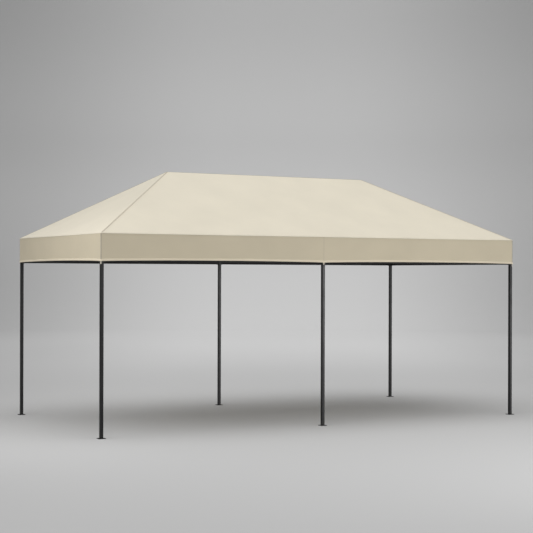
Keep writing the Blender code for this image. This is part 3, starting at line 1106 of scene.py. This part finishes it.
screw_spots, bolt_spots = [], []
for leg, way in rail_ends():
    screw_spots.append((Vector((leg.x, leg.y, SOCKET_SCREW)) + way * (FACE + FLANGE[0]), way))
for leg in LEG.values():
    way = inward_x(leg) if is_corner(leg) else inward_y(leg)
    bolt_spots.append((Vector((leg.x, leg.y, FOOT_BOLT)) + way * FACE, way))
    for height in PLUG_SCREWS:
        screw_spots.append((Vector((leg.x, leg.y, height)) + inward_y(leg) * FACE, inward_y(leg)))
for low, high, run in rails("eave_rail_"):
    centre = (low + high) / 2
    way = inward_y(centre) if run.x else inward_x(centre)
    face = centre + way * abs((high - low).dot(way)) / 2
    for end in (-1, 1):
        screw_spots.append((face + run * end * ((high - low).dot(run) / 2 - RAIL_SCREW_IN), way))
print(len(screw_spots), "screws,", len(bolt_spots), "bolts")

# %% Buttons and studs
RAFTER_BUTTON_IN, RIDGE_BUTTON_IN = 0.060, 0.045
BUTTON_DEPTH = 0.0122
STUD_IN = 0.0057
CORNER_STUD, MIDDLE_STUD = HEM - 0.013, HEM - 0.009

ridge_middle = Vector((0, 0, RIDGE - RAFTER_DROP))
bars = [(*rafter_line(leg), RAFTER_BUTTON_IN) for leg in LEG.values()]
bars += [(ridge_middle, ridge_middle + RIDGE_END * way, RIDGE_BUTTON_IN) for way in (-X, X)]
button_spots, stud_spots = [], []
for foot, head, inset in bars:
    along = (head - foot).normalized()
    under = along.cross(along.cross(Z)).normalized()
    for end, way in ((foot, along), (head, -along)):
        button_spots.append((end + way * inset + under * BUTTON_DEPTH, under))
for leg in LEG.values():
    spot = Vector((leg.x, leg.y, MIDDLE_STUD))
    if is_corner(leg):
        spot = Vector((leg.x, leg.y, CORNER_STUD)) - inward_x(leg) * (FACE - STUD_IN)
    stud_spots.append((spot - inward_y(leg) * (FACE + TAB_GAP + TAB_THICK), -inward_y(leg)))
print(len(button_spots), "buttons,", len(stud_spots), "studs")


# %% Place the fixings
def place_all(name, model, spots, coat):
    """Copies of one model, each stood on its spot and facing out, as one piece."""
    made = []
    for spot, out in spots:
        stand = Matrix.Translation(spot) @ out.to_track_quat("Z", "Y").to_matrix().to_4x4()
        made.append(copy_of(model, name, stand))
    bpy.data.objects.remove(model)
    put_on(join(name, made), coat)
    print(len(spots), name)


fixing_coat = coat_finish("fixing_coat", (0.020, 0.020, 0.021), (0.24, 0.36), peel=0.0009, peel_depth=0.00002)
stud_coat = coat_finish("stud_coat", (0.19, 0.175, 0.15), (0.28, 0.4), peel=0.0009, peel_depth=0.00002)
place_all("frame_screws", make_screw(0.0036, 0.0013, 0.75), screw_spots, fixing_coat)
bolt = join("bolt", [make_screw(0.0062, 0.0026, 0.8), make_washer(0.0085, 0.0012)])
place_all("foot_bolts", bolt, bolt_spots, fixing_coat)
place_all("spring_buttons", make_button(0.0034, 0.0022), button_spots, fixing_coat)
place_all("press_studs", make_stud(0.0035), stud_spots, stud_coat)

# %% [markdown]

# %% [markdown]
# ## The floor
# A pale floor that curves up all round has no horizon. Its paper has no gloss, and light and shade are
# painted into its colour: a painted pool of light, palest along a lane that runs slantwise under the
# object and up the wall behind it, and painted shade softly darker to both sides and towards the top.

# %% Curve the floor up
FLOOR_RADIUS = 27
WALL_HEIGHT = 15
CURVE = 7
CURVE_STEPS = 12

floor = added(bpy.ops.mesh.primitive_circle_add, "floor", vertices=96, radius=FLOOR_RADIUS, fill_type="NGON")
begin(floor)
pick(floor, "edges", lambda edge: edge.is_boundary)
radius, rise = FLOOR_RADIUS, 0
for step in range(1, CURVE_STEPS + 1):
    turn = math.pi / 2 * step / CURVE_STEPS
    grown, risen = FLOOR_RADIUS + CURVE * math.sin(turn), CURVE * (1 - math.cos(turn))
    bpy.ops.mesh.extrude_edges_move(TRANSFORM_OT_translate={"value": (0, 0, risen - rise)})
    bpy.ops.transform.resize(value=(grown / radius, grown / radius, 1), center_override=(0, 0, 0))
    radius, rise = grown, risen
bpy.ops.mesh.extrude_edges_move(TRANSFORM_OT_translate={"value": (0, 0, WALL_HEIGHT - CURVE)})
done()
only(floor)
bpy.ops.object.shade_smooth()
print("floor of", FLOOR_RADIUS, "m radius")

# %% Paint light and shade on its paper
# The centre of a painted pool of light, and the way and middle of a painted lit lane.
PAINTED_POOL_CENTRE = (0.5, -3, 0)
PAINTED_LANE_WAY = (math.cos(-0.49), math.sin(-0.49), 0)
PAINTED_LANE_MIDDLE = 0.5

material, tree, shader = new_finish("paper_painted_light")
place = node(tree, "ShaderNodeTexCoord", "Object", {})
height = node(tree, "ShaderNodeSeparateXYZ", "Z", {"Vector": place})
from_painted_pool = node(tree, "ShaderNodeVectorMath", "Value", {0: place, 1: PAINTED_POOL_CENTRE}, operation="DISTANCE")
sideways = node(tree, "ShaderNodeVectorMath", "Value", {0: place, 1: PAINTED_LANE_WAY}, operation="DOT_PRODUCT")
aside = sums(tree, "ABSOLUTE", sums(tree, "SUBTRACT", sideways, PAINTED_LANE_MIDDLE), 0)


def fade(value, start, end, low=0.0, high=1.0):
    """Go softly from low to high while a value goes from start to end."""
    return between(tree, value, low, high, start, end, "SMOOTHSTEP")


# Painted light and shade: the floor paler near the pool, darker to the sides; the wall darker towards the top
# and the sides.
floor_painted_light_and_shade = sums(tree, "MULTIPLY", fade(from_painted_pool, 8, 15, 0.505, 0.55), fade(aside, 2, 7.5, 1, 0.76))
wall_painted_shade_by_height = sums(tree, "MULTIPLY", fade(height, 0, 4, 0.515, 0.54), fade(height, 7, 13, 1, 0.76))
painted_side_shade = sums(tree, "MULTIPLY", fade(aside, 2, 12), fade(height, 1, 6, 0.36, 0.22))
wall_painted_light_and_shade = sums(tree, "MULTIPLY", wall_painted_shade_by_height, sums(tree, "SUBTRACT", 1, painted_side_shade))
mix = {"Factor": fade(from_painted_pool, 17, 26), "A": floor_painted_light_and_shade, "B": wall_painted_light_and_shade}
# The paper's colour carries this painted light and shade.
paper = node(tree, "ShaderNodeMix", "Result", mix, data_type="FLOAT")
feed(tree, shader, {"Base Color": paper, "Roughness": 0.9, "Specular IOR Level": 0})
floor.data.materials.append(material)
print("paper toned with", len(tree.nodes), "nodes")

# %% [markdown]
# ## The light
# The light is that of a studio: a large soft one above, weaker ones to the left, in front and to the
# right, one high up that lights the wall behind, and an even light from all sides for the shadows.
# One more, at the height of the legs, only shows in gloss: it draws the grey sheen down the front
# faces of the steel, which would be flat black without something pale to mirror.

# %% Lights
OVERHEAD_WAY, OVERHEAD_POWER, OVERHEAD_SPREAD = Vector((0.25, 0.15, -1)), 1.05, math.radians(75)
WORLD_POWER = 0.62
# Each soft light has its place, the spot it is turned to, its width and height, and its power.
SOFT_LIGHTS = {"pool": ((0, -1, 10), (0, -1, 0), (6, 5), 110),
               "left": ((-5.6, -1.45, 3.1), (-3, -1.0, 2.1), (2.0, 1.2), 38),
               "front": ((2.2, -9, 3.0), (0.4, -1.5, 2.2), (4, 3), 143),
               "side": ((8.6, -8.6, 1.1), (3, -1.5, 1.0), (1.4, 2.2), 36),
               "sheen": ((9.8, -16, 1.3), (0.5, -1.5, 1.1), (6, 2.4), 600),
               "backdrop": ((9.5, 17, 20), (16, 28.5, 8), (8, 3), 1450)}


def hang(name, kind, way, power):
    """A light that shines along a way."""
    light = bpy.data.objects.new(name, bpy.data.lights.new(name, kind))
    light.data.energy = power
    light.rotation_euler = way.to_track_quat("-Z", "Y").to_euler()
    bpy.context.scene.collection.objects.link(light)
    return light


overhead = hang("overhead", "SUN", OVERHEAD_WAY, OVERHEAD_POWER)
overhead.data.angle = OVERHEAD_SPREAD
for name, (place, aim, size, power) in SOFT_LIGHTS.items():
    light = hang(name, "AREA", Vector(aim) - Vector(place), power)
    light.data.shape = "RECTANGLE"
    light.data.size, light.data.size_y = size
    light.location = place
    light.visible_camera = False
    light.visible_diffuse = name != "sheen"
world = bpy.data.worlds.new("studio")
bpy.context.scene.world = world
world.use_nodes = True
background = world.node_tree.nodes["Background"]
feed(world.node_tree, background, {"Color": (1, 1, 1, 1), "Strength": WORLD_POWER})
print(len(SOFT_LIGHTS) + 1, "lights")
